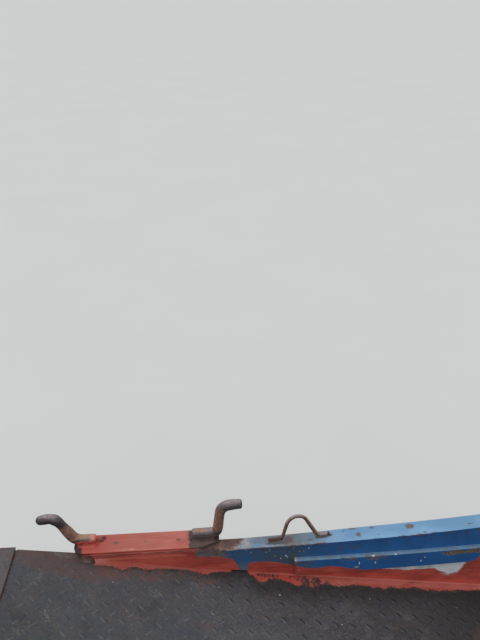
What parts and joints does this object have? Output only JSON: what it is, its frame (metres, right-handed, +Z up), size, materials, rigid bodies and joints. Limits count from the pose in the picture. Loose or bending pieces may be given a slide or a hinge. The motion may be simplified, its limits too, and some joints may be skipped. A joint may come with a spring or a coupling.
{
  "type": "ferry landing bow section",
  "caption": "Landing bow of a small steel passenger ferry: raked bow box, sloping tread-plate foredeck, low bulwarks with mooring horns and rope hoops, and a hinged landing flap.",
  "frame": {"origin": "middle of the whole piece's length and breadth, at the underside of the flat bottom", "axes": "+X aft along the ship, +Y to starboard, +Z up"},
  "size_m": [2.6778, 3.0526, 0.9741],
  "materials": {
    "blue_paint": "worn satin",
    "white_paint": "dull, stained",
    "red_primer": "matt, brushed on",
    "hull_primer": "matt",
    "tread_plate": "dirty, worn",
    "rusty_steel": "rusty"
  },
  "bodies": {
    "bow": {"nose_plate": "blue_paint", "rake_plate": "hull_primer", "bottom_plate": "hull_primer", "aft_bulkhead": "hull_primer", "bulkhead_stiffener_1": "hull_primer", "bulkhead_stiffener_2": "hull_primer", "bulkhead_stiffener_3": "hull_primer", "bulkhead_stiffener_4": "hull_primer", "bulkhead_stiffener_5": "hull_primer", "bulkhead_stiffener_6": "hull_primer", "deck_plate_starboard": "tread_plate", "deck_plate_port": "tread_plate", "shell_plate_starboard": "white_paint", "shell_plate_port": "white_paint", "bulwark_lining_starboard": "red_primer", "bulwark_lining_port": "red_primer", "bulwark_fore_end_starboard": "rusty_steel", "bulwark_fore_end_port": "rusty_steel", "bulwark_aft_end_starboard": "hull_primer", "bulwark_aft_end_port": "hull_primer", "rail_cap_starboard": "blue_paint", "rail_cap_port": "blue_paint", "wale_bar_starboard": "blue_paint", "wale_bar_port": "blue_paint", "rubbing_strake_starboard": "blue_paint", "rubbing_strake_port": "blue_paint", "horn_plate_starboard": "red_primer", "horn_plate_port": "red_primer", "fore_horn_starboard": "rusty_steel", "fore_horn_port": "rusty_steel", "aft_horn_starboard": "rusty_steel", "aft_horn_port": "rusty_steel", "rope_hoop_starboard": "rusty_steel", "rope_hoop_port": "rusty_steel", "hinge_deck_strap_port": "rusty_steel", "hinge_deck_strap_centre": "rusty_steel", "hinge_deck_strap_starboard": "rusty_steel", "hinge_pin_port": "rusty_steel", "hinge_pin_centre": "rusty_steel", "hinge_pin_starboard": "rusty_steel"},
    "landing_flap": {"flap_plate": "tread_plate", "flap_toe_bar": "rusty_steel", "flap_rib_1": "hull_primer", "flap_rib_2": "hull_primer", "flap_rib_3": "hull_primer", "flap_rib_4": "hull_primer", "flap_rib_5": "hull_primer", "flap_rib_6": "hull_primer", "hinge_flap_strap_port": "rusty_steel", "hinge_flap_strap_centre": "rusty_steel", "hinge_flap_strap_starboard": "rusty_steel"}
  },
  "joints": [
    {"name": "flap_hinge", "type": "hinge", "parent": "bow", "child": "landing_flap", "pos_m": [-0.82414, 0, 0.83], "axis": [0, 1, 0], "range_deg": [0, 105]}
  ]
}
